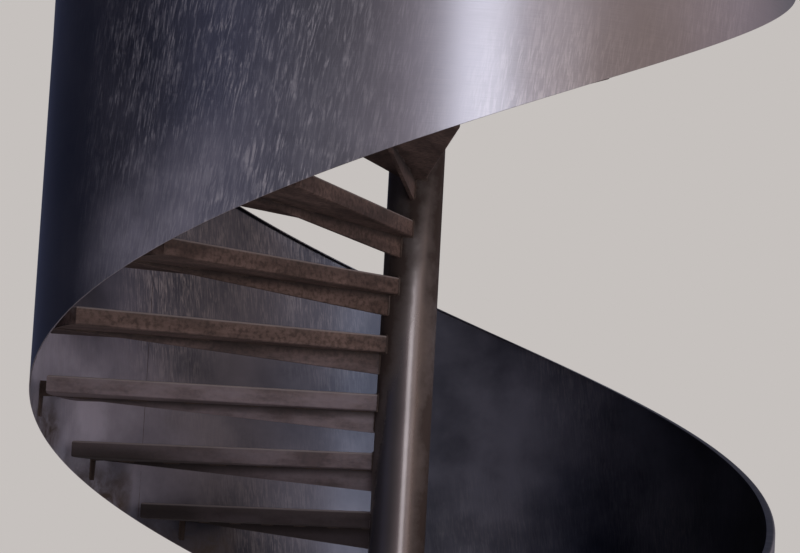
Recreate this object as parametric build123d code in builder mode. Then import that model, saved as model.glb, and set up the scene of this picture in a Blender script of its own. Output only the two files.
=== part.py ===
from build123d import *
from math import asin, atan2, cos, degrees, radians, sin
import os

os.makedirs("parts", exist_ok=True)

# A steel spiral stair that climbs anticlockwise round one round column. The origin is on the
# column's axis at floor level, and the photographed side faces -Y. Sizes are in millimetres,
# angles in degrees from +X.

# Climb
rise = 175.0
step_angle = 22.4
tread_count = 18
first_tread_angle = -49.4

# Column with its foot and top
column_diameter = 168.3
column_wall = 7.1
column_above_landing = 1180.0
cap_thickness = 10.0
cap_chamfer = 2.0
base_diameter = 420.0
base_thickness = 20.0
anchor_circle = 330.0
anchor_hole = 22.0
anchor_count = 4

# Treads: a shallow folded box on one tapered web, kept clear of the guard except at its cleat
tread_plate = 5.0
tread_depth = 51.0
tread_outer_width = 430.0
tread_root_width = 80.0
tread_start_width = 0.6
web_thickness = 12.0
web_root_depth = 115.0
cleat_width = 16.0
cleat_leg = 8.0
cleat_depth = 115.0
tread_end_gap = 50.0

# Landing, built as a wide tread
landing_angle = 66.0

# Guard: one helical band of sheet with a plain lower edge and its upper edge turned in
guard_radius = 1120.0
guard_sheet = 4.0
guard_lip = 26.0
guard_height = 1210.0
guard_drop = 45.0
guard_seam_angle = 139.5
panels_below_seam = 4
panels_above_seam = 4

# Fits
weld_gap = 0.3

# Worked out from the sizes above
column_radius = column_diameter / 2
lead_per_degree = rise / step_angle
helix_pitch = lead_per_degree * 360
landing_top = rise * (tread_count + 1)
column_top = landing_top + column_above_landing
tread_end_radius = guard_radius - tread_end_gap
tread_corner_angle = degrees(asin(tread_outer_width / 2 / tread_end_radius))
guard_inner_radius = guard_radius - guard_sheet
guard_start_angle = first_tread_angle - tread_corner_angle
landing_start_angle = first_tread_angle + tread_count * step_angle - tread_corner_angle
level_start_angle = landing_start_angle + 2 * tread_corner_angle
lower_panel_angle = (guard_seam_angle - guard_start_angle) / panels_below_seam
upper_panel_angle = (level_start_angle - guard_seam_angle) / panels_above_seam


def guard_bottom(angle):
    """Height of the guard's lower edge at an angle on the climb."""
    first_rear_corner = first_tread_angle + tread_corner_angle
    return rise - guard_drop + (angle - first_rear_corner) * lead_per_degree


def turned_plane(angle, height):
    """A level plane on the column's axis, with its X axis pointing out at an angle."""
    return Plane(
        origin=(0, 0, height),
        x_dir=(cos(radians(angle)), sin(radians(angle)), 0),
        z_dir=(0, 0, 1),
    )


def upright_plane(angle):
    """The upright plane through the column's axis at an angle: X points out and Y points up."""
    return Plane(
        origin=(0, 0, 0),
        x_dir=(cos(radians(angle)), sin(radians(angle)), 0),
        z_dir=(sin(radians(angle)), -cos(radians(angle)), 0),
    )


def tread_outline(outer_half, inset, end_radius):
    """Plan of a tread: straight sides that widen outwards and an end that follows the guard."""
    root_half = tread_root_width / 2
    run = tread_end_radius * cos(asin(outer_half / tread_end_radius)) - column_radius
    slope = (outer_half - root_half) / run
    # The side line is y = base + slope * x, moved in by the inset. It runs from the column's
    # axis, or from where the two sides nearly meet, out to the circle.
    base = root_half - slope * column_radius - inset / cos(atan2(outer_half - root_half, run))
    a = 1 + slope**2
    b = slope * base
    c = base**2 - end_radius**2
    end_x = (-b + (b**2 - a * c) ** 0.5) / a
    end_half = base + slope * end_x
    start_half = max(base, tread_start_width / 2)
    start_x = (start_half - base) / slope
    with BuildLine() as outline:
        Line((start_x, -start_half), (end_x, -end_half))
        ThreePointArc((end_x, -end_half), (end_radius, 0), (end_x, end_half))
        Polyline((end_x, end_half), (start_x, start_half), (start_x, -start_half))
    make_face(outline.edges())


def make_tread(angle, top, outer_half, web_angles, cleat):
    """A step: folded box, tapered webs under it and the cleat that meets the guard."""
    plane = turned_plane(angle, top)
    inside = plane.offset(-tread_plate)
    with BuildPart() as tread:
        # Box, open only towards the column
        with BuildSketch(plane):
            tread_outline(outer_half, 0, tread_end_radius)
        extrude(amount=-tread_depth)
        with BuildSketch(inside):
            tread_outline(outer_half, tread_plate, tread_end_radius - tread_plate)
        extrude(amount=-(tread_depth - 2 * tread_plate), mode=Mode.SUBTRACT)

        # Webs, deepest at the column and run out at the box's outer end
        for web_angle in web_angles:
            with BuildSketch(upright_plane(angle + web_angle)):
                with BuildLine():
                    Polyline(
                        (0, top - tread_depth + tread_plate),
                        (tread_end_radius - tread_plate, top - tread_depth + tread_plate),
                        (tread_end_radius - tread_plate, top - tread_depth),
                        (column_radius, top - web_root_depth),
                        (0, top - web_root_depth),
                        close=True,
                    )
                make_face()
            extrude(amount=web_thickness / 2, both=True)

        # Cleat at the middle of the outer end: a bridge from the box and a leg down the guard
        cleat_end = guard_inner_radius - weld_gap
        bridge_length = cleat_end - tread_end_radius + tread_plate
        bridge_depth = min(cleat, tread_depth) - tread_plate
        with BuildSketch(upright_plane(angle)):
            with Locations((cleat_end, top - tread_plate)):
                Rectangle(bridge_length, bridge_depth, align=(Align.MAX, Align.MAX))
                Rectangle(cleat_leg, cleat - tread_plate, align=(Align.MAX, Align.MAX))
        extrude(amount=cleat_width / 2, both=True)

        # Seat round the column
        with BuildSketch(plane.offset(tread_plate)):
            Circle(column_radius + weld_gap)
        extrude(amount=-(web_root_depth + 2 * tread_plate), mode=Mode.SUBTRACT)
    return tread.part


def guard_profile(bottom):
    """Section of the guard: a tall sheet whose upper edge is turned in as a lip."""
    lip_start = guard_radius - guard_lip
    top = bottom + guard_height
    with BuildLine() as section:
        Polyline(
            (guard_radius, bottom),
            (guard_radius, top),
            (lip_start, top),
            (lip_start, top - guard_sheet),
            (guard_inner_radius, top - guard_sheet),
            (guard_inner_radius, bottom),
            close=True,
        )
    make_face(section.edges())


# Base plate with its anchor holes
with BuildPart() as base_plate:
    with BuildSketch(Plane.XY):
        Circle(base_diameter / 2)
        with PolarLocations(anchor_circle / 2, anchor_count):
            Circle(anchor_hole / 2, mode=Mode.SUBTRACT)
    extrude(amount=base_thickness)
base_plate.part.label = "base_plate"
export_step(base_plate.part, "parts/base_plate.step")

# Column tube
with BuildPart() as column:
    with BuildSketch(Plane.XY.offset(base_thickness)):
        Circle(column_radius)
        Circle(column_radius - column_wall, mode=Mode.SUBTRACT)
    extrude(amount=column_top - base_thickness)
column.part.label = "column"
export_step(column.part, "parts/column.step")

# Column cap
with BuildPart() as column_cap:
    with BuildSketch(Plane.XY.offset(column_top)):
        Circle(column_radius)
    extrude(amount=cap_thickness)
    chamfer(column_cap.faces().sort_by(Axis.Z)[-1].edges(), length=cap_chamfer)
column_cap.part.label = "column_cap"
export_step(column_cap.part, "parts/column_cap.step")

# Treads
for number in range(1, tread_count + 1):
    tread_angle = first_tread_angle + (number - 1) * step_angle
    tread_part = make_tread(tread_angle, number * rise, tread_outer_width / 2, [0], cleat_depth)
    tread_part.label = f"tread_{number:02d}"
    export_step(tread_part, f"parts/{tread_part.label}.step")

# Landing, whose cleat ends level with the lower edge of the level guard
landing_half = tread_end_radius * sin(radians(landing_angle / 2))
landing_middle = landing_start_angle + landing_angle / 2
landing_webs = [-step_angle, 0, step_angle]
landing_cleat = guard_drop
landing_part = make_tread(
    landing_middle, landing_top, landing_half, landing_webs, landing_cleat
)
landing_part.label = "landing"
export_step(landing_part, "parts/landing.step")

# Helical guard, panel by panel from the lowest
for number in range(1, panels_below_seam + panels_above_seam + 1):
    if number <= panels_below_seam:
        panel_angle = lower_panel_angle
        panel_start = guard_start_angle + (number - 1) * panel_angle
    else:
        panel_angle = upper_panel_angle
        panel_start = guard_seam_angle + (number - 1 - panels_below_seam) * panel_angle
    panel_bottom = guard_bottom(panel_start)
    with BuildPart() as panel:
        with BuildLine(Plane.XY.offset(panel_bottom)) as climb:
            Helix(helix_pitch, lead_per_degree * panel_angle, guard_radius)
        with BuildSketch(upright_plane(panel_start)):
            guard_profile(panel_bottom)
        sweep(path=climb.line.rotate(Axis.Z, panel_start), is_frenet=True)
        if panel_bottom < 0:
            split(bisect_by=Plane.XY, keep=Keep.TOP)
    panel.part.label = f"guard_panel_{number:02d}"
    export_step(panel.part, f"parts/{panel.part.label}.step")

# Level guard along the landing
level_angle = landing_start_angle + landing_angle - level_start_angle
with BuildPart() as level_panel:
    with BuildSketch(upright_plane(level_start_angle)):
        guard_profile(guard_bottom(level_start_angle))
    revolve(axis=Axis.Z, revolution_arc=level_angle)
level_panel.part.label = "guard_level_panel"
export_step(level_panel.part, "parts/guard_level_panel.step")
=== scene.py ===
import bpy
import bmesh
import random
from math import asin, ceil, cos, pi, radians, sin, sqrt
from mathutils import Matrix, Vector, noise


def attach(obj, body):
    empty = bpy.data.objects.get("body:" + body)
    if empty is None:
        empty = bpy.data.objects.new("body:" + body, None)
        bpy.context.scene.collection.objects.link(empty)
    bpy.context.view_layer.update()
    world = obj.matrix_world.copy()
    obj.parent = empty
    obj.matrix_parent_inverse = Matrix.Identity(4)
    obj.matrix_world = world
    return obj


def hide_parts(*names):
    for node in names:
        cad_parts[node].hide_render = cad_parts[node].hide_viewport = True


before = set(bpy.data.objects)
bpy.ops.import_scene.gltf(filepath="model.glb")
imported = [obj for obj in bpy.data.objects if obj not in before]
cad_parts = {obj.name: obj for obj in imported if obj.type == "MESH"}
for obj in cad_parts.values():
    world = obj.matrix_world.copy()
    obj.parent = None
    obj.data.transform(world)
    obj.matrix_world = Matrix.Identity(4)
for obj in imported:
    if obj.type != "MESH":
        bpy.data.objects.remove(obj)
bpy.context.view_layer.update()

# Spiral stair of steel: satin stainless guard and column, folded treads brown with rust and dust.
# Metres and degrees, in the same frame as the solids: the column's axis is upright at the origin.

random.seed(41)

# Climb: what every piece follows.
climb = {
    "rise": 0.175,
    "stepAngle": 22.4,
    "treadCount": 18,
    "firstAngle": -49.4,
    "columnRadius": 0.08415,
    "landingAngle": 66.0,
}
metresPerDegree = climb["rise"] / climb["stepAngle"]
landingTop = climb["rise"] * (climb["treadCount"] + 1)
sharpEdge = radians(38)  # a mesh shades smooth over every bend flatter than this

# Camera: where the photograph was taken from.
shot = {
    "focalPixels": 2662.8,  # for an image 800 pixels wide
    "imageWidth": 800,
    "sensorWidth": 36.0,
    "farthest": 200,
    "place": (0.0, -8.0103, 1.4415),
    "yaw": -0.237,
    "pitch": 6.021,
    "roll": 3.092,
}


def makeCamera():
    lensData = bpy.data.cameras.new("photoCamera")
    lensData.sensor_width = shot["sensorWidth"]
    lensData.lens = shot["focalPixels"] / shot["imageWidth"] * shot["sensorWidth"]
    lensData.clip_end = shot["farthest"]
    yaw, pitch, roll = (radians(shot[k]) for k in ("yaw", "pitch", "roll"))
    ahead = Vector((sin(yaw) * cos(pitch), cos(yaw) * cos(pitch), sin(pitch)))
    level = Vector((cos(yaw), -sin(yaw), 0))
    above = level.cross(ahead)
    across = cos(roll) * level + sin(roll) * above
    upward = cos(roll) * above - sin(roll) * level
    turn = Matrix((across, upward, -ahead)).transposed()
    camera = bpy.data.objects.new("photoCamera", lensData)
    camera.matrix_world = Matrix.Translation(shot["place"]) @ turn.to_4x4()
    bpy.context.scene.collection.objects.link(camera)
    bpy.context.scene.camera = camera


makeCamera()
print("camera in place")


def hexToLinear(code):
    channels = [int(code[i:i + 2], 16) / 255 for i in (1, 3, 5)]
    linear = [c / 12.92 if c <= 0.04045 else ((c + 0.055) / 1.055) ** 2.4 for c in channels]
    return (*linear, 1.0)


def addNode(tree, kind, settings=None, links=None):
    # A colour is given as its hex code, and a ramp's stops as positions with a grey or a hex code.
    # A link comes from the socket given, or from the first one of the node given.
    node = tree.nodes.new("ShaderNode" + kind)
    for key, value in (settings or {}).items():
        if key == "stops":
            while len(node.color_ramp.elements) < len(value):
                node.color_ramp.elements.new(0.5)
            for stop, (position, tone) in zip(node.color_ramp.elements, value):
                stop.position = position
                stop.color = hexToLinear(tone) if isinstance(tone, str) else (tone, tone, tone, 1)
        elif isinstance(key, int) or key in node.inputs:
            node.inputs[key].default_value = hexToLinear(value) if isinstance(value, str) else value
        else:
            setattr(node, key, value)
    for key, source in (links or {}).items():
        socket = source.outputs[0] if isinstance(source, bpy.types.Node) else source
        tree.links.new(socket, node.inputs[key])
    return node


def newMaterial(name):
    material = bpy.data.materials.new(name)
    material.use_nodes = True
    tree = material.node_tree
    tree.nodes.clear()
    output = tree.nodes.new("ShaderNodeOutputMaterial")
    return material, tree, output


def meshFrom(bm, name):
    bmesh.ops.recalc_face_normals(bm, faces=bm.faces)
    for face in bm.faces:
        face.smooth = True
    for edge in bm.edges:
        if len(edge.link_faces) == 2:
            edge.smooth = edge.calc_face_angle(0) < sharpEdge
    mesh = bpy.data.meshes.new(name)
    bm.to_mesh(mesh)
    bm.free()
    return mesh


def newPiece(name, mesh, materials, replaced, place=None):
    piece = bpy.data.objects.new(name, mesh)
    bpy.context.scene.collection.objects.link(piece)
    if place is not None:
        piece.matrix_world = place
    for material in materials:
        mesh.materials.append(material)
    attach(piece, "root")
    if replaced:
        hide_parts(*replaced)


def roundPath(radius, height, count):
    turns = [2 * pi * k / count for k in range(count)]
    return [Vector((radius * cos(t), radius * sin(t), height)) for t in turns]


def addRing(bm, centre, radius, height, sides):
    return [bm.verts.new(centre + point) for point in roundPath(radius, height, sides)]


def joinRings(bm, rings, closed=False):
    # Faces between rings of as many points, and back to the first ring where they close
    faces = []
    for ring, following in zip(rings, rings[1:] + rings[:1] if closed else rings[1:]):
        for k in range(len(ring)):
            n = (k + 1) % len(ring)
            faces.append(bm.faces.new((ring[k], ring[n], following[n], following[k])))
    return faces


def closeEnds(bm, rings):
    return [bm.faces.new(rings[0][::-1]), bm.faces.new(rings[-1])]


# Weld beads: tubes that swell with the ripples of each pass.
bead = {
    "sides": 6,
    "step": 0.004,
    "ripple": 0.18,
    "unevenness": 0.25,  # as a part of the ripple
    "unevenScale": 90,
    "endScale": 0.55,
}


def addBead(bm, path, radius, ripple=bead["ripple"], step=bead["step"], closed=False, slot=1):
    # A bead lies half sunk in the joint that it fills, and has the piece's second material
    points = []
    for start, end in zip(path, path[1:]):
        count = max(1, ceil((end - start).length / step))
        points += [start.lerp(end, i / count) for i in range(count)]
    if not closed:
        points.append(path[-1])
    rings = []
    for i, point in enumerate(points):
        ahead = points[(i + 1) % len(points)] if closed or i + 1 < len(points) else point
        behind = points[i - 1] if closed or i else point
        along = (ahead - behind).normalized()
        side = along.cross(Vector((0, 0, 1)))
        if side.length <= 0.2:  # an upright bead
            side = along.cross(Vector((1, 0, 0)))
        side = side.normalized()
        up = side.cross(along)
        uneven = bead["unevenness"] * ripple * noise.noise(point * bead["unevenScale"])
        swell = 1 + ripple * sin(i * pi / 2) + uneven
        if not closed and i in (0, len(points) - 1):
            swell *= bead["endScale"]
        turns = [2 * pi * k / bead["sides"] for k in range(bead["sides"])]
        offsets = [(cos(t) * side + sin(t) * up) * radius * swell for t in turns]
        rings.append([bm.verts.new(point + offset) for offset in offsets])
    faces = joinRings(bm, rings, closed)
    if not closed:
        faces += closeEnds(bm, rings)
    for face in faces:
        face.material_index = slot


# Tread: a shallow folded box on one web that runs out at the outer end, with a cleat to the guard.
tread = {
    "depth": 0.051,
    "plate": 0.005,
    "outerHalf": 0.215,
    "rootHalf": 0.040,
    "seatGap": 0.0003,
    "seatSteps": 8,
    "endStepDegrees": 2,
    "foldRadius": 0.006,
    "foldSegments": 3,
    "edgeRadius": 0.0012,
    "edgeSegments": 2,
    "webThickness": 0.012,
    "webRootDepth": 0.115,
    "webSink": 0.001,  # how far the web is let into the box, and how deep it still is at its end
    "webInset": 0.006,
    "cleatWidth": 0.016,
    "cleatLeg": 0.008,
    "cleatDepth": 0.115,
    "cleatSink": 0.002,
    "rootBead": 0.0038,
    "bead": 0.003,
    "beadProud": 0.0006,
    "rootBeadEnd": 0.002,
    "stitchStart": 0.10,
    "stitchSpacing": 0.17,
    "stitchLength": 0.06,
    "stitchCount": 6,
    "stitchProud": 0.0005,
    "cleatBeadTop": 0.012,
    "cleatBeadEnd": 0.004,
    "cleatBeadInset": 0.001,
}


# Guard: one band of sheet that climbs round the treads, its upper edge folded in as a ledge.
guard = {
    "radius": 1.120,
    "sheet": 0.004,
    "lip": 0.026,
    "height": 1.210,
    "drop": 0.045,
    "treadGap": 0.050,
    "foldRadius": 0.009,
    "foldSteps": 4,
    "edgeRadius": 0.0006,
    "buckle": 0.0016,  # how far thin sheet wanders inwards from true
    "buckleInset": 0.02,  # it starts this far in from an edge, and is full so much further in
    "buckleRamp": 0.15,
    "stepDegrees": 1.5,
    "rowsUp": 30,
    "panelCount": 8,
    "seamAngle": 139.5,
    "seamBead": 0.0009,
    "seamProud": 0.0002,
    "seamInset": 0.006,
    "seamRipple": 0.1,
    "seamStep": 0.006,
}
treadEndRadius = guard["radius"] - guard["treadGap"]
treadCornerAngle = asin(tread["outerHalf"] / treadEndRadius) * 180 / pi
guardStart = climb["firstAngle"] - treadCornerAngle
landingStart = climb["firstAngle"] + climb["treadCount"] * climb["stepAngle"] - treadCornerAngle
levelStart = landingStart + 2 * treadCornerAngle
guardEnd = landingStart + climb["landingAngle"]

# Soil on the guard, and painted shadow below the tread ends. A pair gives where it starts and where it is
# full: an angle of the climb in degrees, or a height over the sheet's lower edge in metres.
soil = {
    "shadowGrimeHalf": 0.235,
    "shadowGrimeFade": 0.06,
    "chalkMiddle": 243,
    "chalkHalf": 30,
    "lowHeight": (0.58, 0.33),
    "leftStart": (116, 152),
    "rightStart": (10, 30),
    "right": 0.10,
    "behindStart": (52, 68),
    "behindEnd": (96, 76),
    "behind": 0.24,
    "outsideStart": (213, 227),
    "outsideEnd": (250, 238),
    "outside": 0.06,
    "edgeHeight": (0.34, 0.06),
    "edgeEnd": (278, 262),
    "edge": 0.18,
    "edgeMoreEnd": (250, 232),
    "edgeMore": 0.6,
}


def guardBottom(angle):
    rear = climb["firstAngle"] + treadCornerAngle
    return climb["rise"] - guard["drop"] + (min(angle, levelStart) - rear) * metresPerDegree


def guardSection():
    # Points (radius, height above the lower edge) round the sheet's section, outer side first
    outer, inner = guard["radius"], guard["radius"] - guard["sheet"]
    tip = guard["radius"] - guard["lip"]
    height, sheet, bend, soft = guard["height"], guard["sheet"], guard["foldRadius"], guard["edgeRadius"]
    tight = bend - sheet
    rows, steps = guard["rowsUp"], guard["foldSteps"]
    plain = height - bend - soft
    arc = [i / steps * pi / 2 for i in range(steps + 1)]
    points = [(outer - soft, 0)]
    points += [(outer, soft + plain * i / rows) for i in range(rows)]
    points += [(outer - bend + bend * cos(a), height - bend + bend * sin(a)) for a in arc]
    points += [(tip + soft, height), (tip, height - soft), (tip, height - sheet + soft)]
    points += [(tip + soft, height - sheet)]
    points += [(inner - tight + tight * sin(a), height - bend + tight * cos(a)) for a in arc]
    points += [(inner, height - bend - plain * i / rows) for i in range(1, rows + 1)]
    points += [(inner + soft, 0)]
    return points


def sheetWander(angle, height):
    # Shallow hollows over half a metre across with finer ones on them, none along the edges
    along = radians(angle) * guard["radius"]
    edge = min(height, guard["height"] - height)
    free = min(1, max(0, (edge - guard["buckleInset"]) / guard["buckleRamp"]))
    belly = noise.noise(Vector((along * 1.6, height * 1.8, 3.1))) - 0.35
    fine = 0.35 * noise.noise(Vector((along * 4.3, height * 3.7, 8.4)))
    return guard["buckle"] * free * min(0, belly + fine)


def rising(value, start, end):
    # 0 up to the start, 1 from the end on, and straight between them; the end may be the lower
    return min(1, max(0, (value - start) / (end - start)))


def treadShadowAndGrime(angle, height, inside):
    # Brown dirt and painted shadow on the inside of the sheet, below each tread's outer end
    if not inside:
        return 0.0
    step = (angle - climb["firstAngle"]) / climb["stepAngle"]
    nearest = min(max(round(step), 0), climb["treadCount"])
    away = abs(step - nearest) * radians(climb["stepAngle"]) * guard["radius"]
    below = climb["rise"] * (nearest + 1) - tread["depth"] - guardBottom(angle) - height
    if below <= 0 or angle > landingStart:
        return 0.0
    return min(1, max(0, (soil["shadowGrimeHalf"] - away) / soil["shadowGrimeFade"])) * min(1, 0.3 + below * 8)


def chalkZone(angle, height, inside):
    # Where mortar dust was wiped and ran: thickest on the outside, on the left of the picture
    spread = noise.noise(Vector((radians(angle) * 2.3, height * 1.4, 5.0 if inside else 0.7)))
    if inside:
        return max(0, 0.06 + 0.45 * spread)
    middle = max(0, 1 - abs(angle - soil["chalkMiddle"]) / soil["chalkHalf"]) ** 0.6
    return max(0, 0.10 + middle + 0.6 * spread)


def insideShade(angle, height, inside):
    # Painted shade: the whole inner side gets a darker metal colour
    return 1.0 if inside else 0.0


def settledDust(angle, height, inside):
    # Grey dust: along the lower edge outside, and on the lower half of the inner side, thickest
    # towards the left of the picture, with a paler patch behind the column
    if inside:
        low = rising(height, *soil["lowHeight"])
        left = low * rising(angle, *soil["leftStart"])
        right = soil["right"] * low * rising(angle, *soil["rightStart"])
        behind = soil["behind"] * rising(angle, *soil["behindStart"]) * rising(angle, *soil["behindEnd"])
        return max(left, behind, right)
    edge = soil["edge"] + soil["edgeMore"] * rising(angle, *soil["edgeMoreEnd"])
    edge = edge * rising(height, *soil["edgeHeight"]) * rising(angle, *soil["edgeEnd"])
    outside = soil["outside"] * rising(angle, *soil["outsideEnd"])
    return rising(angle, *soil["outsideStart"]) * (edge + outside)


def buildGuard(material):
    bm = bmesh.new()
    sheetMap = bm.loops.layers.uv.new("sheetMap")
    coats = {"grime": treadShadowAndGrime, "chalk": chalkZone, "dull": insideShade, "settled": settledDust}
    layers = {name: bm.verts.layers.float.new(name) for name in coats}
    section = guardSection()
    count = ceil((levelStart - guardStart) / guard["stepDegrees"])
    angles = [guardStart + (levelStart - guardStart) * i / count for i in range(count)]
    count = ceil((guardEnd - levelStart) / guard["stepDegrees"])
    angles += [levelStart + (guardEnd - levelStart) * i / count for i in range(count + 1)]
    rings = []
    for angle in angles:
        turn = radians(angle)
        ring = []
        for radius, height in section:
            if radius > guard["radius"] - 2 * guard["sheet"]:  # the lip stays true
                radius += sheetWander(angle, height)
            vert = bm.verts.new((radius * cos(turn), radius * sin(turn), guardBottom(angle) + height))
            inside = radius < guard["radius"] - 0.75 * guard["sheet"]
            for name, coat in coats.items():
                vert[layers[name]] = coat(angle, height, inside)
            ring.append(vert)
        rings.append(ring)
    size = len(section)
    for i in range(len(rings) - 1):
        for k in range(size):
            n = (k + 1) % size
            corners = ((i, k), (i, n), (i + 1, n), (i + 1, k))
            face = bm.faces.new([rings[a][s] for a, s in corners])
            for loop, (a, s) in zip(face.loops, corners):
                along = radians(angles[a]) * guard["radius"]
                loop[sheetMap].uv = (along, guardBottom(angles[a]) + section[s][1])
    closeEnds(bm, rings)
    # The sheet is cut off where it meets the floor
    geometry = bm.verts[:] + bm.edges[:] + bm.faces[:]
    cut = bmesh.ops.bisect_plane(
        bm, geom=geometry, dist=1e-6, plane_co=(0, 0, 0), plane_no=(0, 0, 1), clear_inner=True
    )
    rim = [e for e in cut["geom_cut"] if isinstance(e, bmesh.types.BMEdge) and e.is_boundary]
    bmesh.ops.holes_fill(bm, edges=rim, sides=0)
    names = [f"guard_panel_{i:02d}" for i in range(1, guard["panelCount"] + 1)] + ["guard_level_panel"]
    newPiece("guard_sheet", meshFrom(bm, "guard_sheet"), [material], names)


def buildSeam(material):
    # A ground butt weld on the inside of the guard, where its lower and upper halves meet
    bm = bmesh.new()
    turn = radians(guard["seamAngle"])
    radius = guard["radius"] - guard["sheet"] + guard["seamProud"]
    low = guardBottom(guard["seamAngle"]) + guard["seamInset"]
    high = guardBottom(guard["seamAngle"]) + guard["height"] - guard["seamInset"]
    path = [Vector((radius * cos(turn), radius * sin(turn), z)) for z in (low, (low + high) / 2, high)]
    addBead(bm, path, guard["seamBead"], guard["seamRipple"], guard["seamStep"], slot=0)
    newPiece("guard_seam_welds", meshFrom(bm, "guard_seam_welds"), [material], ())


def treadPlan(outerHalf):
    # A tread's outline, anticlockwise: the arc along the guard, then the arc on the column's seat
    seat = climb["columnRadius"] + tread["seatGap"]
    run = treadEndRadius * cos(asin(outerHalf / treadEndRadius)) - climb["columnRadius"]
    slope = (outerHalf - tread["rootHalf"]) / run
    base = tread["rootHalf"] - slope * climb["columnRadius"]
    a = 1 + slope ** 2
    b = slope * base
    ends = []
    for radius in (seat, treadEndRadius):  # where the straight side meets each arc
        x = (-b + sqrt(b * b - a * (base * base - radius * radius))) / a
        ends.append(asin((base + slope * x) / radius))
    rootTurn, endTurn = ends
    count = ceil(endTurn * 2 / radians(tread["endStepDegrees"]))
    end = [endTurn * (2 * i / count - 1) for i in range(count + 1)]
    count = tread["seatSteps"]
    root = [rootTurn * (1 - 2 * i / count) for i in range(count + 1)]
    outline = [(treadEndRadius * cos(t), treadEndRadius * sin(t)) for t in end]
    outline += [(seat * cos(t), seat * sin(t)) for t in root]
    return outline


def addFoldedBox(bm, outline):
    # A tread's box, with its edges folded round except along the seat
    upper = [bm.verts.new((x, y, 0)) for x, y in outline]
    lower = [bm.verts.new((x, y, -tread["depth"])) for x, y in outline]
    bm.faces.new(upper)
    bm.faces.new(lower[::-1])
    size = len(outline)
    for k in range(size):
        n = (k + 1) % size
        bm.faces.new((upper[k], lower[k], lower[n], upper[n]))
    onSeat = range(size - 1 - tread["seatSteps"], size - 1)
    folds = [bm.edges.get((ring[k], ring[(k + 1) % size]))
             for ring in (upper, lower) for k in range(size) if k not in onSeat]
    bmesh.ops.bevel(bm, geom=folds, offset=tread["foldRadius"], segments=tread["foldSegments"],
                    profile=0.5, affect="EDGES", clamp_overlap=True)


def addPlate(bm, side, thickness, turn=0.0, slot=0):
    # An upright plate from its side view (x out, z up), standing on the line at an angle
    spin = Matrix.Rotation(turn, 4, "Z")
    near, far = ([bm.verts.new(spin @ Vector((x, y, z))) for x, z in side]
                 for y in (-thickness / 2, thickness / 2))
    faces = [bm.faces.new(near), bm.faces.new(far[::-1])]
    for k in range(len(side)):
        n = (k + 1) % len(side)
        faces.append(bm.faces.new((near[n], near[k], far[k], far[n])))
    for face in faces:
        face.material_index = slot
    edges = [edge for face in faces[:2] for edge in face.edges]
    bmesh.ops.bevel(bm, geom=edges, offset=tread["edgeRadius"], segments=tread["edgeSegments"],
                    profile=0.5, affect="EDGES")


def addBeadPair(bm, start, end, thickness, radius, turn=0.0):
    # Beads on both sides of an upright plate, between two points (x, z) of its side view
    spin = Matrix.Rotation(turn, 4, "Z")
    half = thickness / 2 + tread["beadProud"]
    for y in (-half, half):
        addBead(bm, [spin @ Vector((x, y, z)) for x, z in (start, end)], radius)


def buildTreadMesh(name, outerHalf, webTurns, cleatDepth):
    bm = bmesh.new()
    outline = treadPlan(outerHalf)
    addFoldedBox(bm, outline)
    depth, rootDepth, thickness = tread["depth"], tread["webRootDepth"], tread["webThickness"]
    seat = climb["columnRadius"] + tread["seatGap"]
    end = treadEndRadius - tread["webInset"]
    let = -depth + tread["webSink"]
    for turn in webTurns:
        side = [(seat, let), (end, let), (end, -depth - tread["webSink"]), (seat, -rootDepth)]
        addPlate(bm, side, thickness, radians(turn))
    # The cleat bridges the gap to the guard, and a leg runs down the sheet where there is room.
    # The heat of its welds has blackened it, so it has their material.
    start = end - tread["cleatSink"]
    stop = guard["radius"] - guard["sheet"] - tread["seatGap"]
    top, foot = -tread["plate"], -min(cleatDepth, depth)
    side = [(start, foot), (start, top), (stop, top), (stop, -cleatDepth)]
    if cleatDepth > depth:
        side += [(stop - tread["cleatLeg"], -cleatDepth), (stop - tread["cleatLeg"], foot)]
    addPlate(bm, side, tread["cleatWidth"], slot=1)

    # Welds: round the seat, down the web's root, stitches under the box, and at the cleat
    lift = Vector((0, 0, tread["beadProud"]))
    root = [Vector((x, y, 0)) for x, y in outline[-tread["seatSteps"] - 1:]]
    loop = [p + lift for p in root] + [p - Vector((0, 0, depth)) - lift for p in reversed(root)]
    addBead(bm, loop + loop[:1], tread["rootBead"])
    level = -depth - tread["stitchProud"]
    for turn in webTurns:
        rootEnd = (seat, -rootDepth + tread["rootBeadEnd"])
        addBeadPair(bm, (seat, -depth), rootEnd, thickness, tread["rootBead"], radians(turn))
        for i in range(tread["stitchCount"]):
            x = tread["stitchStart"] + i * tread["stitchSpacing"]
            stitchEnd = (x + tread["stitchLength"], level)
            addBeadPair(bm, (x, level), stitchEnd, thickness, tread["bead"], radians(turn))
    x = stop - tread["cleatBeadInset"]
    cleatBeadFoot = (x, -cleatDepth + tread["cleatBeadEnd"])
    addBeadPair(bm, (x, -tread["cleatBeadTop"]), cleatBeadFoot, tread["cleatWidth"], tread["bead"])
    # The bevel leaves double points along the curved end
    bmesh.ops.remove_doubles(bm, verts=bm.verts, dist=0.00001)
    return meshFrom(bm, name)


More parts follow.
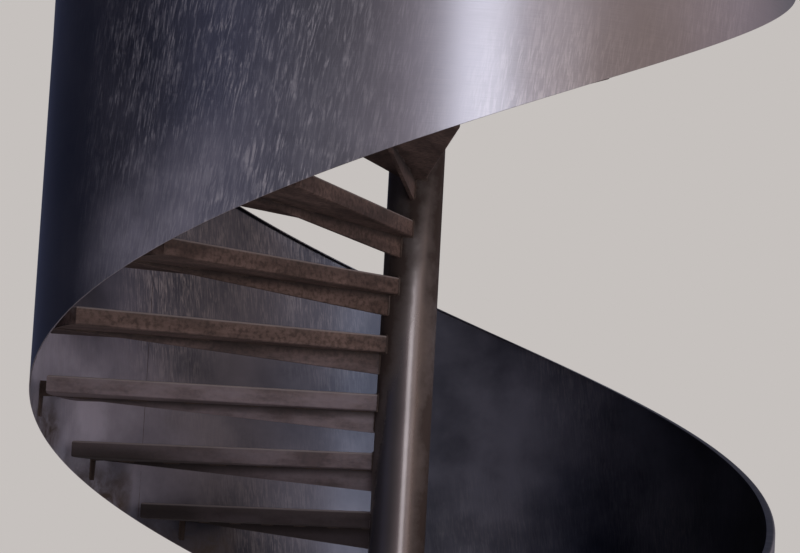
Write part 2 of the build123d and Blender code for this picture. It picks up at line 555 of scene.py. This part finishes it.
def buildTreads(materials):
    mesh = buildTreadMesh("tread", tread["outerHalf"], (0,), tread["cleatDepth"])
    for material in materials:
        mesh.materials.append(material)
    for number in range(1, climb["treadCount"] + 1):
        turn = radians(climb["firstAngle"] + (number - 1) * climb["stepAngle"])
        place = Matrix.Translation((0, 0, number * climb["rise"])) @ Matrix.Rotation(turn, 4, "Z")
        newPiece(f"stair_tread_{number:02d}", mesh, (), [f"tread_{number:02d}"], place)
    half = treadEndRadius * sin(radians(climb["landingAngle"] / 2))
    webs = (-climb["stepAngle"], 0, climb["stepAngle"])
    mesh = buildTreadMesh("landing", half, webs, guard["drop"])
    # The landing is wide, so its mesh is turned itself: its box then stays within the stair's
    turn = radians(landingStart + climb["landingAngle"] / 2)
    mesh.transform(Matrix.Rotation(turn, 4, "Z"))
    place = Matrix.Translation((0, 0, landingTop))
    newPiece("stair_landing", mesh, materials, ["landing"], place)


# Column: round tube with a welded cap, with the stains below each tread's root and painted shade on one
# side.
column = {
    "foot": 0.020,
    "top": landingTop + 1.18,  # a little over the level guard
    "cap": 0.010,
    "capEdge": 0.002,
    "capBead": 0.0016,
    "sidesRound": 96,
    "beadPoints": 60,
    "ringHeight": 0.025,
    "stainFall": 0.45,
    "stainHalf": 32,  # degrees to each side at the root, and how many more it gains as it falls
    "stainHalfGain": 40,
    "stainGainFall": 0.3,
    "stainHalfMost": 55,
    "splashRise": 0.03,
    "splashHalf": 35,
    "splash": 0.6,
    "shadedSideStart": (8, 33),  # degrees round from the front, where it starts and where it is full
    "shadedSide": 0.42,
    "shadedSideMoreStart": (30, 60),
    "shadedSideMore": 0.22,
    "shadedSideEnd": 120,
}


def rootStain(angle, z):
    # Rust and mortar that ran down the tube from each tread's root, and splashed up from it
    stain = 0.0
    for number in range(1, climb["treadCount"] + 2):
        treadAngle = climb["firstAngle"] + (number - 1) * climb["stepAngle"]
        away = abs((angle - treadAngle + 180) % 360 - 180)
        below = number * climb["rise"] + 0.01 - z
        if 0 < below < column["stainFall"] and away < column["stainHalfMost"]:
            gain = column["stainHalfGain"] * min(1, below / column["stainGainFall"])
            spread = max(0, 1 - away / (column["stainHalf"] + gain))
            stain = max(stain, spread * (1 - below / column["stainFall"]) ** 0.6)
        if -column["splashRise"] < below <= 0 and away < column["splashHalf"]:
            stain = max(stain, column["splash"] * (1 - away / column["splashHalf"]))
    # Painted shade: the tube is darkened and dulled on the right of the picture with the stain colour
    fromFront = (angle + 90) % 360
    if fromFront >= column["shadedSideEnd"]:
        return stain
    shadedSide = column["shadedSide"] * rising(fromFront, *column["shadedSideStart"])
    return max(stain, shadedSide + column["shadedSideMore"] * rising(fromFront, *column["shadedSideMoreStart"]))


def buildColumn(materials):
    bm = bmesh.new()
    stain = bm.verts.layers.float.new("rootStain")
    tubeMap = bm.loops.layers.uv.new("tubeMap")
    radius, edge = climb["columnRadius"], column["capEdge"]
    foot, tubeTop, top = column["foot"], column["top"], column["top"] + column["cap"]
    count = ceil((tubeTop - foot) / column["ringHeight"])
    levels = [(radius, foot + (tubeTop - foot) * i / count) for i in range(count + 1)]
    levels += [(radius, top - edge), (radius - edge * 0.3, top - edge * 0.3), (radius - edge, top)]
    levels += [(radius * 0.6, top), (radius * 0.25, top)]
    sides = column["sidesRound"]
    rings = []
    for r, z in levels:
        ring = []
        for k in range(sides):
            angle = 360 * k / sides
            vert = bm.verts.new((r * cos(radians(angle)), r * sin(radians(angle)), z))
            vert[stain] = rootStain(angle, z) if r == radius else 0.0
            ring.append(vert)
        rings.append(ring)
    for i in range(len(rings) - 1):
        for k in range(sides):
            corners = ((i, k), (i, k + 1), (i + 1, k + 1), (i + 1, k))
            face = bm.faces.new([rings[j][m % sides] for j, m in corners])
            for loop, (j, m) in zip(face.loops, corners):
                loop[tubeMap].uv = (2 * pi * radius * m / sides, levels[j][1])
    closeEnds(bm, rings)
    path = roundPath(radius, tubeTop, column["beadPoints"])
    addBead(bm, path + path[:1], column["capBead"], closed=True)
    newPiece("column_tube", meshFrom(bm, "column_tube"), materials, ["column", "column_cap"])


# Base: a round plate, welded round the column and held by four anchors.
base = {
    "radius": 0.210,
    "thickness": 0.020,
    "edgeRadius": 0.0015,
    "sides": 96,
    "bead": 0.006,
    "beadOut": 0.002,
    "beadUp": 0.001,
    "beadPoints": 72,
    "anchorCircle": 0.165,
    "anchorCount": 4,
    "studRadius": 0.010,
    "studAbove": 0.010,
    "studSink": 0.002,
    "studSides": 24,
    "threadPitch": 0.0025,
    "threadDepth": 0.0012,
    "nutFlats": 0.030,
    "nutHeight": 0.016,
    "nutSides": 24,
    "washerHole": 0.011,
    "washerRadius": 0.0185,
    "washerThickness": 0.003,
    "washerEdge": 0.0005,
    "washerSides": 40,
}


def buildBase(materials):
    bm = bmesh.new()
    radius, thick, soft = base["radius"], base["thickness"], base["edgeRadius"]
    profile = [(radius - soft, 0), (radius, soft), (radius, thick - soft), (radius - soft, thick)]
    profile += [(radius * 0.8, thick), (radius * 0.6, thick), (climb["columnRadius"] - 0.004, thick)]
    rings = [addRing(bm, Vector(), r, z, base["sides"]) for r, z in profile]
    joinRings(bm, rings)
    closeEnds(bm, rings)
    path = roundPath(climb["columnRadius"] + base["beadOut"], thick + base["beadUp"], base["beadPoints"])
    addBead(bm, path, base["bead"], closed=True)
    newPiece("base_flange_plate", meshFrom(bm, "base_plate"), materials, ["base_plate"])


def addTurned(bm, foot, profile, sides, solid=False):
    # A turned ring, or a solid stud, about an upright axis, from (radius, height) points
    rings = [addRing(bm, foot, r, z, sides) for r, z in profile]
    joinRings(bm, rings, closed=not solid)
    if solid:
        closeEnds(bm, rings)


def addNut(bm, foot, twist):
    # A six-sided nut whose corners are cut back at both ends
    flats, height, sides = base["nutFlats"], base["nutHeight"], base["nutSides"]
    corner = flats / 2 / cos(pi / 6)
    rings = []
    for scale, z in ((0.9, 0), (1, 0.0012), (1, height - 0.002), (0.88, height)):
        ring = []
        for k in range(sides):
            turn = 2 * pi * k / sides
            toFlat = (turn + pi / 6) % (pi / 3) - pi / 6
            edge = min(flats / 2 / cos(toFlat), corner * scale)
            point = Vector((edge * cos(turn + twist), edge * sin(turn + twist), z))
            ring.append(bm.verts.new(foot + point))
        rings.append(ring)
    joinRings(bm, rings)
    closeEnds(bm, rings)


def buildAnchors(material):
    bm = bmesh.new()
    hole, rim, thin = base["washerHole"], base["washerRadius"], base["washerThickness"]
    soft = base["washerEdge"]
    washer = [(hole, 0), (rim, 0), (rim, thin - soft), (rim - soft, thin), (hole, thin)]
    crest, pitch = base["studRadius"], base["threadPitch"]
    turns = int((base["studAbove"] + base["studSink"]) / pitch)
    thread = []
    for i in range(turns):
        thread += [(crest, i * pitch), (crest - base["threadDepth"], (i + 0.5) * pitch)]
    thread += [(crest - 0.001, turns * pitch)]
    for i in range(base["anchorCount"]):
        turn = 2 * pi * i / base["anchorCount"]
        away = base["anchorCircle"]
        foot = Vector((away * cos(turn), away * sin(turn), base["thickness"]))
        addTurned(bm, foot, washer, base["washerSides"])
        foot = foot + Vector((0, 0, thin))
        addNut(bm, foot, random.uniform(0, 1))
        foot = foot + Vector((0, 0, base["nutHeight"] - base["studSink"]))
        addTurned(bm, foot, thread, base["studSides"], solid=True)
    newPiece("anchor_fasteners", meshFrom(bm, "anchor_fasteners"), [material], ())


# Materials. A pattern's scale is 1000 over its size in millimetres.
sheetLook = {
    "groundDark": "#75747a",
    "groundLight": "#8b8a8f",
    # Painted shade: the inner side's darker metal colour
    "shadedInsideTone": "#282d38",
    "dust": "#b0b0c2",
    "chalk": "#d6d4d8",
    # Brown dirt, also used as painted shadow below the tread ends
    "grime": "#4d423d",
    "dustThinnest": 0.02,
    "dustThickest": 0.16,
    "runStrength": 0.4,
    "chalkStrength": 0.5,
}


def makeSatinStainless():
    # 304 stainless sheet, satin ground: a soft grey mirror drawn out along the grain,
    # under a thin film of site dust, with chalky scribbles and runs of dried mortar water
    material, tree, output = newMaterial("satin_ground_stainless_sheet")
    where = addNode(tree, "UVMap", {"uv_map": "sheetMap"})
    # Grit lines are near 0.1 mm apart, too fine to show, so they are drawn 1.5 mm apart
    grainSpace = addNode(tree, "Mapping", {"Scale": (1000 / 125, 1000 / 1.5385, 1)},
                         {"Vector": where})
    grain = addNode(tree, "TexNoise", {"Scale": 1, "Detail": 3, "Roughness": 0.6},
                    {"Vector": grainSpace})
    cloud = addNode(tree, "TexNoise", {"Scale": 1000 / 416.67, "Detail": 7, "Roughness": 0.6},
                    {"Vector": where})
    smear = addNode(tree, "TexNoise",
                    {"Scale": 1000 / 62.5, "Detail": 6, "Roughness": 0.68, "Distortion": 0.5},
                    {"Vector": where})
    # Scribbles: strokes about 8 mm across and 75 mm long, leaning a little; runs: 19 mm by 200 mm
    strokeSpace = addNode(tree, "Mapping",
                          {"vector_type": "TEXTURE", "Scale": (0.0075, 0.075, 1), "Rotation": (0, 0, -0.14)},
                          {"Vector": where})
    strokes = addNode(tree, "TexNoise",
                      {"Scale": 1, "Detail": 3, "Roughness": 0.55, "Distortion": 1.3},
                      {"Vector": strokeSpace})
    runSpace = addNode(tree, "Mapping", {"Scale": (1000 / 19.231, 1000 / 200, 1)},
                       {"Vector": where})
    runs = addNode(tree, "TexNoise",
                   {"Scale": 1, "Detail": 6, "Roughness": 0.7, "Distortion": 0.5}, {"Vector": runSpace})
    zone = addNode(tree, "Attribute", {"attribute_name": "chalk"})
    strokeMask = addNode(tree, "ValToRGB", {"stops": ((0.46, 0), (0.61, 1))}, {"Fac": strokes})
    runMask = addNode(tree, "ValToRGB", {"stops": ((0.5, 0), (0.72, 1))}, {"Fac": runs})
    patchy = addNode(tree, "ValToRGB", {"stops": ((0.38, 0.35), (0.6, 1))}, {"Fac": smear})
    strokePatch = addNode(tree, "Math", {"operation": "MULTIPLY"}, {0: strokeMask, 1: patchy})
    both = addNode(tree, "Math", {"operation": "MULTIPLY_ADD", 1: sheetLook["runStrength"]},
                   {0: runMask, 2: strokePatch})
    chalk = addNode(tree, "Math", {"operation": "MULTIPLY", "use_clamp": True},
                    {0: both, 1: zone.outputs["Fac"]})
    chalkSoft = addNode(tree, "Math", {"operation": "MULTIPLY", 1: sheetLook["chalkStrength"]},
                        {0: chalk})
    # Painted shadow, with brown dirt, below each tread's outer end
    grime = addNode(tree, "Attribute", {"attribute_name": "grime"})
    shadowAndGrimeSoft = addNode(tree, "Math", {"operation": "MULTIPLY"},
                        {0: grime.outputs["Fac"], 1: patchy})
    thickness = ((0.3, sheetLook["dustThinnest"]), (0.72, sheetLook["dustThickest"]))
    film = addNode(tree, "ValToRGB", {"stops": thickness}, {"Fac": cloud})
    dull = addNode(tree, "Attribute", {"attribute_name": "dull"})
    settled = addNode(tree, "Attribute", {"attribute_name": "settled"})
    cloudy = addNode(tree, "MapRange", {"From Min": 0.35, "From Max": 0.6, "To Min": 0.55},
                     {"Value": cloud})
    settledSoft = addNode(tree, "Math", {"operation": "MULTIPLY"},
                          {0: settled.outputs["Fac"], 1: cloudy})
    filmAll = addNode(tree, "Math", {"operation": "MULTIPLY_ADD", 1: 0.9, "use_clamp": True},
                      {0: settledSoft, 2: film})
    # Each coat covers the ones before. The inner side gets a darker metal colour as painted shade.
    coats = ((dull.outputs["Fac"], "shadedInsideTone"), (filmAll, "dust"), (chalkSoft, "chalk"),
             (shadowAndGrimeSoft, "grime"))
    colour = addNode(tree, "Mix", {"data_type": "RGBA", 6: sheetLook["groundDark"],
                                             7: sheetLook["groundLight"]}, {0: grain})
    for mask, tone in coats:
        colour = addNode(tree, "Mix", {"data_type": "RGBA", 7: sheetLook[tone]},
                         {0: mask, 6: colour.outputs[2]})
    # What lies on the metal, and the painted shadow below the tread ends, take its shine away
    cover = addNode(tree, "Math", {"operation": "MAXIMUM"}, {0: filmAll, 1: chalkSoft})
    coverAll = addNode(tree, "Math", {"operation": "MAXIMUM"}, {0: cover, 1: shadowAndGrimeSoft})
    metallic = addNode(tree, "MapRange", {"To Min": 1.0, "To Max": 0.05}, {"Value": coverAll})
    rough = addNode(tree, "MapRange", {"From Min": 0.2, "To Min": 0.28, "To Max": 0.8},
                    {"Value": coverAll})
    bump = addNode(tree, "Bump", {"Strength": 0.12, "Distance": 0.0004}, {"Height": grain})
    shader = addNode(tree, "BsdfPrincipled", {},
                     {"Base Color": colour.outputs[2], "Metallic": metallic, "Roughness": rough,
                      "Normal": bump})
    tree.links.new(shader.outputs[0], output.inputs[0])
    return material


tubeLook = {
    "metalDark": "#5a5554",
    "metalLight": "#766f6e",
    # The stain colour is also painted on the right of the picture as shade
    "stain": "#2e211c",
    "dulledHeight": (2.05, 2.5),  # where cement dust starts to dull it, and where it has
    "roughness": (0.22, 0.42),  # below that and above it
}


def makeTubeStainless():
    # Stainless tube, satin: as the sheet, but with rust and mortar run down from the tread roots, and
    # painted shade on the right of the picture
    material, tree, output = newMaterial("satin_stainless_tube_stained_and_shaded")
    where = addNode(tree, "UVMap", {"uv_map": "tubeMap"})
    grainSpace = addNode(tree, "Mapping", {"Scale": (1000 / 1.4286, 1000 / 166.67, 1)},
                         {"Vector": where})
    grain = addNode(tree, "TexNoise", {"Scale": 1, "Detail": 3}, {"Vector": grainSpace})
    cloud = addNode(tree, "TexNoise", {"Scale": 1000 / 142.86, "Detail": 7, "Roughness": 0.65},
                    {"Vector": where})
    stain = addNode(tree, "Attribute", {"attribute_name": "rootStain"})
    patchy = addNode(tree, "Math", {"operation": "MULTIPLY"}, {0: stain.outputs["Fac"], 1: cloud})
    stainAndShadeMask = addNode(tree, "ValToRGB", {"stops": ((0.12, 0), (0.32, 0.95))}, {"Fac": patchy})
    metal = addNode(tree, "Mix",
                    {"data_type": "RGBA", 6: tubeLook["metalDark"], 7: tubeLook["metalLight"]}, {0: cloud})
    colour = addNode(tree, "Mix", {"data_type": "RGBA", 7: tubeLook["stain"]},
                     {0: stainAndShadeMask, 6: metal.outputs[2]})
    metallic = addNode(tree, "MapRange", {"To Min": 0.85, "To Max": 0.0}, {"Value": stainAndShadeMask})
    # Cement dust has dulled the tube higher up, so the highlight fades there
    level = addNode(tree, "SeparateXYZ", {}, {0: where})
    (clean, dulled), (smooth, dusty) = tubeLook["dulledHeight"], tubeLook["roughness"]
    dusted = addNode(tree, "MapRange",
                     {"From Min": clean, "From Max": dulled, "To Min": smooth, "To Max": dusty},
                     {"Value": level.outputs["Y"]})
    rough = addNode(tree, "Math", {"operation": "MULTIPLY_ADD", 1: 0.5}, {0: stainAndShadeMask, 2: dusted})
    bump = addNode(tree, "Bump", {"Strength": 0.15, "Distance": 0.0004}, {"Height": grain})
    shader = addNode(tree, "BsdfPrincipled", {},
                     {"Base Color": colour.outputs[2], "Metallic": metallic, "Roughness": rough,
                      "Normal": bump})
    tree.links.new(shader.outputs[0], output.inputs[0])
    return material


# A zone says along what it is measured, where it starts, where it is full and how strong it is
# then. "own" is the tread's frame: Z from its top face, X from the column. "world" is the stair's.
steelLook = {
    "rustDark": "#40302b",
    "rustLight": "#6c5953",
    "fleck": "#8a8178",
    "greyDust": "#7b7279",
    "lowShade": "#231c1a",
    "cornerShadow": "#1d1615",
    "foldDustAndHighlight": "#a39b9d",
    "topDust": "#857b75",
    "cornerShadowTop": -0.0485,
    "zones": {
        # A painted highlight, with some dust, along the top of the box's sides
        "fold": ("own", "Z", -0.0065, -0.002, 0.85),
        # corner: painted shadow of the box on the web
        "corner": ("own", "Z", -0.076, -0.052, 0.85),
        "low": ("world", "Z", 2.06, 1.94, 0.85),
        # The next three zones paint shade on the lower treads
        "outer": ("own", "X", 0.3, 0.85, 0.95),
        "lower": ("world", "Z", 1.83, 1.7, 1),
        "lowest": ("world", "Z", 1.69, 1.58, 0.75),
    },
}


def makeDustySteel():
    # Mild steel plate, folded, left bare: even brown rust under plaster dust, nearly without shine, with
    # painted shade and a painted highlight
    material, tree, output = newMaterial("rusted_mild_steel_dust_and_painted_shade")
    where = addNode(tree, "TexCoord")
    # Each tread shows another part of the pattern
    info = addNode(tree, "ObjectInfo")
    shift = addNode(tree, "VectorMath", {"operation": "MULTIPLY_ADD", 1: (31, 17, 11)},
                    {0: info.outputs["Random"], 2: where.outputs["Object"]})
    stretch = addNode(tree, "Mapping",
                      {"Scale": (1000 / 208.33, 1000 / 74.074, 1000 / 55.556)}, {"Vector": shift})
    blotch = addNode(tree, "TexNoise", {"Scale": 1, "Detail": 7, "Roughness": 0.62},
                     {"Vector": stretch})
    fine = addNode(tree, "TexNoise", {"Scale": 1000 / 14.286, "Detail": 5, "Roughness": 0.6},
                   {"Vector": shift})
    blotchMask = addNode(tree, "ValToRGB", {"stops": ((0.36, 0), (0.62, 1))}, {"Fac": blotch})
    rust = addNode(tree, "Mix", {"data_type": "RGBA", 6: steelLook["rustDark"],
                                           7: steelLook["rustLight"]}, {0: blotchMask})
    fineMask = addNode(tree, "ValToRGB", {"stops": ((0.38, 0.7), (0.56, 0))}, {"Fac": fine})
    speck = addNode(tree, "Mix",
                    {"data_type": "RGBA", "blend_type": "MULTIPLY", 7: steelLook["fleck"]},
                    {0: fineMask, 6: rust.outputs[2]})

    surface = addNode(tree, "NewGeometry")
    up = addNode(tree, "SeparateXYZ", {}, {0: surface.outputs["Normal"]})
    frames = {"own": addNode(tree, "SeparateXYZ", {}, {0: where.outputs["Object"]}),
              "world": addNode(tree, "SeparateXYZ", {}, {0: surface.outputs["Position"]})}
    zones = {}
    for name, (space, axis, start, full, most) in steelLook["zones"].items():
        zones[name] = addNode(tree, "MapRange",
                              {"From Min": start, "From Max": full, "To Max": most},
                              {"Value": frames[space].outputs[axis]})
    # Grey dust lies thicker on the lower treads, which carry more feet
    evened = addNode(tree, "MapRange", {"To Min": 0.35}, {"Value": blotchMask})
    lowDust = addNode(tree, "Math", {"operation": "MULTIPLY"}, {0: zones["low"], 1: evened})
    # Painted shade darkens the outer ends further down, and the lowest treads as a whole
    outerEndShade = addNode(tree, "Math", {"operation": "MULTIPLY"},
                     {0: zones["outer"], 1: zones["lower"]})
    lowShadeMask = addNode(tree, "Math", {"operation": "MAXIMUM"}, {0: outerEndShade, 1: zones["lowest"]})
    # Painted shadow darkens the web just below the box, and a painted highlight with some dust lies along
    # the top fold
    belowCorner = addNode(tree, "Math", {"operation": "LESS_THAN", 1: steelLook["cornerShadowTop"]},
                          {0: frames["own"].outputs["Z"]})
    cornerShadowLine = addNode(tree, "Math", {"operation": "MULTIPLY"},
                         {0: zones["corner"], 1: belowCorner})
    upright = addNode(tree, "MapRange", {"From Min": -0.8, "From Max": -0.3, "To Min": 0.1},
                      {"Value": up.outputs["Z"]})
    cornerShadowMask = addNode(tree, "Math", {"operation": "MULTIPLY"}, {0: cornerShadowLine, 1: upright})
    upMask = addNode(tree, "Math", {"operation": "MULTIPLY", 1: 0.7, "use_clamp": True},
                     {0: up.outputs["Z"]})
    coats = ((lowDust, "greyDust"), (lowShadeMask, "lowShade"), (cornerShadowMask, "cornerShadow"),
             (zones["fold"], "foldDustAndHighlight"), (upMask, "topDust"))
    colour = speck
    for mask, tone in coats:
        colour = addNode(tree, "Mix", {"data_type": "RGBA", 7: steelLook[tone]},
                         {0: mask, 6: colour.outputs[2]})
    rough = addNode(tree, "MapRange", {"To Min": 0.62, "To Max": 0.92}, {"Value": blotch})
    bump = addNode(tree, "Bump", {"Strength": 0.35, "Distance": 0.0008}, {"Height": fine})
    shader = addNode(tree, "BsdfPrincipled", {"Metallic": 0.1},
                     {"Base Color": colour.outputs[2], "Roughness": rough, "Normal": bump})
    tree.links.new(shader.outputs[0], output.inputs[0])
    return material


def makeWeldMetal():
    # Weld metal as laid, unground: dark brown oxide with a dull gleam on the ripples
    material, tree, output = newMaterial("weld_metal_oxidised")
    where = addNode(tree, "TexCoord")
    speckle = addNode(tree, "TexNoise", {"Scale": 1000 / 7.6923, "Detail": 4},
                      {"Vector": where.outputs["Object"]})
    colour = addNode(tree, "Mix", {"data_type": "RGBA", 6: "#2f2724", 7: "#5e5049"}, {0: speckle})
    rough = addNode(tree, "MapRange", {"To Min": 0.45, "To Max": 0.8}, {"Value": speckle})
    bump = addNode(tree, "Bump", {"Strength": 0.3, "Distance": 0.0004}, {"Height": speckle})
    shader = addNode(tree, "BsdfPrincipled", {"Metallic": 0.5},
                     {"Base Color": colour.outputs[2], "Roughness": rough, "Normal": bump})
    tree.links.new(shader.outputs[0], output.inputs[0])
    return material


def makeZinc():
    # Zinc plated fasteners: pale grey metal, mottled where the plating has dulled
    material, tree, output = newMaterial("zinc_plated_steel_dulled")
    where = addNode(tree, "TexCoord")
    mottle = addNode(tree, "TexNoise", {"Scale": 1000 / 11.111, "Detail": 5},
                     {"Vector": where.outputs["Object"]})
    colour = addNode(tree, "Mix", {"data_type": "RGBA", 6: "#7d7b78", 7: "#aaa8a5"}, {0: mottle})
    rough = addNode(tree, "MapRange", {"To Min": 0.35, "To Max": 0.65}, {"Value": mottle})
    shader = addNode(tree, "BsdfPrincipled", {"Metallic": 0.9},
                     {"Base Color": colour.outputs[2], "Roughness": rough})
    tree.links.new(shader.outputs[0], output.inputs[0])
    return material


sheetSteel = makeSatinStainless()
tubeSteel = makeTubeStainless()
dustySteel = makeDustySteel()
weldMetal = makeWeldMetal()
zinc = makeZinc()
print("materials made")

buildGuard(sheetSteel)
buildSeam(weldMetal)
print("guard built")
buildTreads([dustySteel, weldMetal])
print("treads and landing built")
buildColumn([tubeSteel, weldMetal])
buildBase([dustySteel, weldMetal])
buildAnchors(zinc)
print("column and base built")


# Studio: a pale floor and backdrop, soft lamps, and a graded world that the satin sheet mirrors.
studio = {
    "floorRadius": 14.0,
    "floorMiddle": 0.6,
    "floorSides": 64,
    "floorDrop": 0.0005,
    "floorColour": "#cfccc9",
    "floorDark": "#c6c3c0",
    "floorLift": 0.3,
    "backdrop": "#c6c1be",
    "worldTint": ((0, "#a6b8ff"), (0.14, "#b4c2ff"), (0.25, "#c6ceff"), (0.45, "#e1e0f3"),
                  (0.6, "#ebe3ef"), (0.75, "#f7e3eb"), (0.87, "#f7e3e5"), (0.94, "#fce4e0"),
                  (1, "#ffe4d6")),
    "worldStrength": ((0, 0.032), (0.02, 0.032), (0.04, 0.042), (0.08, 0.056), (0.12, 0.08),
                      (0.19, 0.152), (0.26, 0.166), (0.342, 0.166), (0.43, 0.178), (0.496, 0.228),
                      (0.574, 0.3), (0.642, 0.4), (0.715, 0.585), (0.783, 0.69), (0.837, 0.77),
                      (0.89, 0.81), (0.934, 0.79), (1, 0.745)),
    "lamps": {
        "windowKey": {"power": 89, "size": (1.75, 5.0), "place": (1.68, -6.1, 3.5),
                      "target": (0, 0, 3.5), "colour": (0.91, 0.945, 1.0)},
        "sideSoft": {"power": 15, "size": (1.8, 4.5), "place": (3.6, -5.0, 3.3),
                     "target": (0, 0, 2.6), "colour": (1.0, 0.97, 0.97)},
        "topSoft": {"power": 40, "size": (4.0, 4.0), "place": (0.5, 0.5, 7.5),
                    "target": (0, 0, 2.0), "colour": (1.0, 1.0, 1.0)},
        # Light thrown up by the floor, which shows the undersides of the treads
        "floorBounce": {"power": 12, "size": (3.0, 3.0), "place": (0.0, -2.6, 0.12),
                        "target": (0, 0, 2.4), "colour": (1.0, 0.94, 0.92)},
    },
}


def makeFloor():
    bm = bmesh.new()
    wide, sides = studio["floorRadius"], studio["floorSides"]
    rings = [addRing(bm, Vector(), r, 0, sides) for r in (wide, wide / 3, studio["floorMiddle"])]
    joinRings(bm, rings)
    bm.faces.new(rings[-1])
    mesh = meshFrom(bm, "floor")
    material, tree, output = newMaterial("pale_sealed_concrete_floor")
    where = addNode(tree, "TexCoord")
    cloud = addNode(tree, "TexNoise", {"Scale": 1000 / 769.23, "Detail": 6},
                    {"Vector": where.outputs["Object"]})
    colour = addNode(tree, "Mix",
                     {"data_type": "RGBA", 6: studio["floorDark"], 7: studio["floorColour"]}, {0: cloud})
    shader = addNode(tree, "BsdfPrincipled", {"Roughness": 0.8}, {"Base Color": colour.outputs[2]})
    # The camera sees the floor paler than it is lit, and shadows stay on it
    path = addNode(tree, "LightPath")
    lift = addNode(tree, "Math", {"operation": "MULTIPLY", 1: studio["floorLift"]},
                   {0: path.outputs["Is Camera Ray"]})
    glow = addNode(tree, "Emission", {"Color": studio["floorColour"]}, {"Strength": lift})
    lifted = addNode(tree, "AddShader", {}, {0: shader, 1: glow})
    tree.links.new(lifted.outputs[0], output.inputs[0])
    mesh.materials.append(material)
    floor = bpy.data.objects.new("floor", mesh)
    floor.location.z = -studio["floorDrop"]
    bpy.context.scene.collection.objects.link(floor)


def makeLamp(name, power, size, place, target, colour):
    lamp = bpy.data.lights.new(name, "AREA")
    lamp.shape = "RECTANGLE"
    lamp.size, lamp.size_y = size
    lamp.energy = power
    lamp.color = colour
    holder = bpy.data.objects.new(name, lamp)
    holder.location = place
    holder.rotation_euler = (Vector(target) - Vector(place)).to_track_quat("-Z", "Y").to_euler()
    bpy.context.scene.collection.objects.link(holder)


def makeWorld():
    # Dim and cool on the left, pale and warm on the right: the satin sheet mirrors both
    world = bpy.data.worlds.new("softStudio")
    world.use_nodes = True
    tree = world.node_tree
    tree.nodes.clear()
    where = addNode(tree, "TexCoord")
    flat = addNode(tree, "VectorMath", {"operation": "MULTIPLY", 1: (1, 1, 0)},
                   {0: where.outputs["Generated"]})
    bearing = addNode(tree, "VectorMath", {"operation": "NORMALIZE"}, {0: flat})
    across = addNode(tree, "VectorMath", {"operation": "DOT_PRODUCT", 1: (0.9, -0.43, 0)},
                     {0: bearing})
    level = addNode(tree, "MapRange", {"From Min": -1, "From Max": 1},
                    {"Value": across.outputs["Value"]})
    strength = addNode(tree, "ValToRGB", {"stops": studio["worldStrength"]}, {"Fac": level})
    tint = addNode(tree, "ValToRGB", {"stops": studio["worldTint"]}, {"Fac": level})
    sky = addNode(tree, "Mix", {"data_type": "RGBA", "blend_type": "MULTIPLY", 0: 1.0},
                  {6: tint, 7: strength})
    path = addNode(tree, "LightPath")
    seen = addNode(tree, "Mix", {"data_type": "RGBA", 7: studio["backdrop"]},
                   {0: path.outputs["Is Camera Ray"], 6: sky.outputs[2]})
    background = addNode(tree, "Background", {}, {"Color": seen.outputs[2]})
    addNode(tree, "OutputWorld", {}, {"Surface": background})
    bpy.context.scene.world = world


makeFloor()
makeWorld()
for lampName, settings in studio["lamps"].items():
    makeLamp(lampName, **settings)
bpy.context.scene.view_settings.view_transform = "Standard"
print("studio made")
